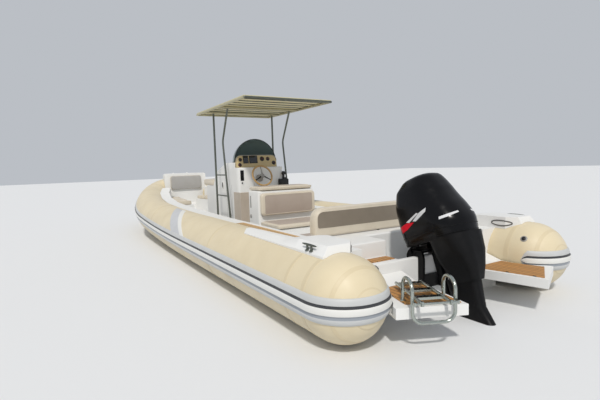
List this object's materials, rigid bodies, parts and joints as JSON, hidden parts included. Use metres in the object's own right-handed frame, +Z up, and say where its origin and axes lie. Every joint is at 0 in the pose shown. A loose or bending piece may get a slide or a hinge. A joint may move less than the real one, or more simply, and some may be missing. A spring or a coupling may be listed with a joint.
{
  "type": "rigid inflatable boat",
  "caption": "Open rigid inflatable boat with a deep-V hull round which a cream tube runs, a stand-up console under a slatted canopy, and a tilted outboard engine.",
  "frame": {"origin": "on the centreline at the waterline, below the aft edge of the swim platforms", "axes": "+X towards the bow, +Y to port, +Z up"},
  "size_m": [9.7698, 3.0004, 2.7438],
  "materials": {
    "tube_fabric": "satin coated fabric, cream",
    "strake_rubber": "matt, light grey",
    "gelcoat": "gloss, white",
    "teak": "matt, oiled",
    "cushion_vinyl": "matt, beige",
    "backrest_vinyl": "matt, cream with a grey-brown back",
    "stainless": "polished",
    "smoked_acrylic": "clear, dark smoke",
    "dash_plastic": "satin, tan",
    "black_plastic": "satin, black",
    "wheel_wood": "varnished",
    "canopy_plastic": "matt, tan",
    "engine_paint": "satin, black",
    "engine_cover_plastic": "gloss, black",
    "engine_metal": "cast",
    "propeller_steel": "polished"
  },
  "bodies": {
    "boat": {"port_tube": "tube_fabric", "bow_tube": "tube_fabric", "starboard_tube": "tube_fabric", "port_end_cap": "tube_fabric", "starboard_end_cap": "tube_fabric", "port_rub_strake": "strake_rubber", "bow_rub_strake": "strake_rubber", "starboard_rub_strake": "strake_rubber", "hull": "gelcoat", "cockpit_liner": "gelcoat", "stern_moulding": "gelcoat", "port_swim_platform": "gelcoat", "starboard_swim_platform": "gelcoat", "port_platform_teak": "teak", "starboard_platform_teak": "teak", "port_quarter_moulding": "gelcoat", "starboard_quarter_moulding": "gelcoat", "port_coaming_teak": "teak", "starboard_coaming_teak": "teak", "port_cleat": "stainless", "starboard_cleat": "stainless", "stern_seat_cushion": "cushion_vinyl", "stern_backrest": "backrest_vinyl", "leaning_post": "gelcoat", "leaning_post_cushion": "cushion_vinyl", "leaning_post_back_pad": "cushion_vinyl", "aft_facing_seat_cushion": "cushion_vinyl", "console": "gelcoat", "front_seat_cushion": "cushion_vinyl", "dash_pod": "dash_plastic", "helm_display": "black_plastic", "windscreen": "smoked_acrylic", "steering_column": "black_plastic", "engine_control_lever": "black_plastic", "port_canopy_posts": "stainless", "starboard_canopy_posts": "stainless", "canopy_frame": "stainless", "canopy_slats": "canopy_plastic", "bow_locker": "gelcoat", "port_bow_cushion": "cushion_vinyl", "starboard_bow_cushion": "cushion_vinyl", "bow_backrest": "cushion_vinyl", "ladder_guard": "stainless", "clamp_bracket": "engine_paint"},
    "swivel": {"swivel_bracket": "engine_paint"},
    "engine": {"engine_cover": "engine_cover_plastic", "engine_block": "engine_metal", "engine_midsection": "engine_paint", "gearcase": "engine_paint"},
    "propeller": {"propeller": "propeller_steel"},
    "wheel": {"steering_wheel": "wheel_wood"},
    "ladder": {"boarding_ladder": "stainless"},
    "door": {"console_door": "gelcoat"},
    "bow_lid": {"bow_locker_lid": "gelcoat"}
  },
  "joints": [
    {"name": "engine_tilt", "type": "hinge", "parent": "boat", "child": "swivel", "pos_m": [0.88, 0, 0.48], "axis": [0, 1, 0], "range_deg": [-20, 25]},
    {"name": "engine_steer", "type": "hinge", "parent": "swivel", "child": "engine", "pos_m": [0.73435, 0, 0.53301], "axis": [0.342, 0, 0.9397], "range_deg": [-30, 30]},
    {"name": "propeller_spin", "type": "hinge", "parent": "engine", "child": "propeller", "pos_m": [-0.06942, 0, -0.28651], "axis": [0.9397, 0, -0.342], "continuous": true},
    {"name": "wheel_turn", "type": "hinge", "parent": "boat", "child": "wheel", "pos_m": [4.05, 0.06, 1.155], "axis": [-0.9272, 0, 0.3746], "range_deg": [-360, 360]},
    {"name": "ladder_hinge", "type": "hinge", "parent": "boat", "child": "ladder", "pos_m": [0.03074, 0.77794, 0.362], "axis": [-0.4169, -0.909, 0], "range_deg": [0, 265]},
    {"name": "console_door_hinge", "type": "hinge", "parent": "boat", "child": "door", "pos_m": [5.7873, 0.22, 0.6], "axis": [0, 0, 1], "range_deg": [0, 100]},
    {"name": "bow_lid_hinge", "type": "hinge", "parent": "boat", "child": "bow_lid", "pos_m": [8.922, 0, 1.1973], "axis": [0, 1, 0], "range_deg": [0, 85]}
  ],
  "couplings": [
    {"joint": "wheel_turn", "follows": "engine_steer", "ratio": -12}
  ]
}
